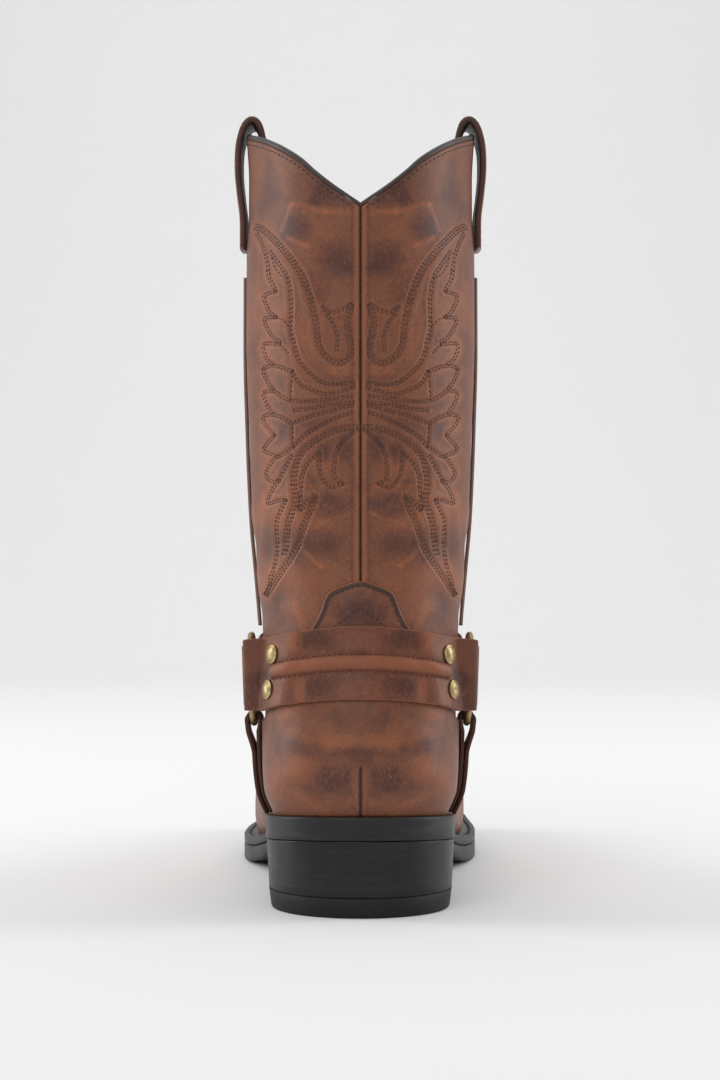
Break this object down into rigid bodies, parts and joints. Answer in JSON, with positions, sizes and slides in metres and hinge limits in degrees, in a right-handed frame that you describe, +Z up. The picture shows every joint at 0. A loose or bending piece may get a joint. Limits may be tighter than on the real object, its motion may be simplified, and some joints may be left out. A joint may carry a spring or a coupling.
{
  "type": "harness boot",
  "caption": "Tall pull-on leather boot with a stacked heel, square toe, dipped collar, pull straps and an ankle harness of straps and metal rings.",
  "frame": {"origin": "centre of the heel's flat underside, on the floor", "axes": "+Z up the shaft, +Y from the heel to the toe, +X to the inner (medial) side of the left foot"},
  "size_m": [0.1073, 0.307, 0.3205],
  "materials": {
    "boot_leather": "waxy pull-up, fine grain",
    "strap_leather": "waxy pull-up, fine grain",
    "trim_leather": "smooth, dark",
    "welt_leather": "edge dressed",
    "heel_stack": "dyed black, brushed layers",
    "sole_rubber": "satin",
    "lining": "matt",
    "antique_brass": "antiqued"
  },
  "bodies": {
    "root": {"top_lift": "sole_rubber", "heel": "heel_stack", "outsole": "sole_rubber", "welt": "welt_leather", "insole": "lining", "upper": "boot_leather", "counter": "boot_leather", "vamp": "boot_leather", "collar_bead": "trim_leather", "heel_strap": "strap_leather", "instep_strap": "strap_leather", "side_piping_inner": "trim_leather", "pull_strap_inner": "strap_leather", "ring_inner": "antique_brass", "stirrup_strap_inner": "strap_leather", "rivet_heel_low_inner": "antique_brass", "rivet_heel_high_inner": "antique_brass", "rivet_instep_low_inner": "antique_brass", "rivet_instep_high_inner": "antique_brass", "side_piping_outer": "trim_leather", "pull_strap_outer": "strap_leather", "ring_outer": "antique_brass", "stirrup_strap_outer": "strap_leather", "rivet_heel_low_outer": "antique_brass", "rivet_heel_high_outer": "antique_brass", "rivet_instep_low_outer": "antique_brass", "rivet_instep_high_outer": "antique_brass"}
  },
  "joints": []
}
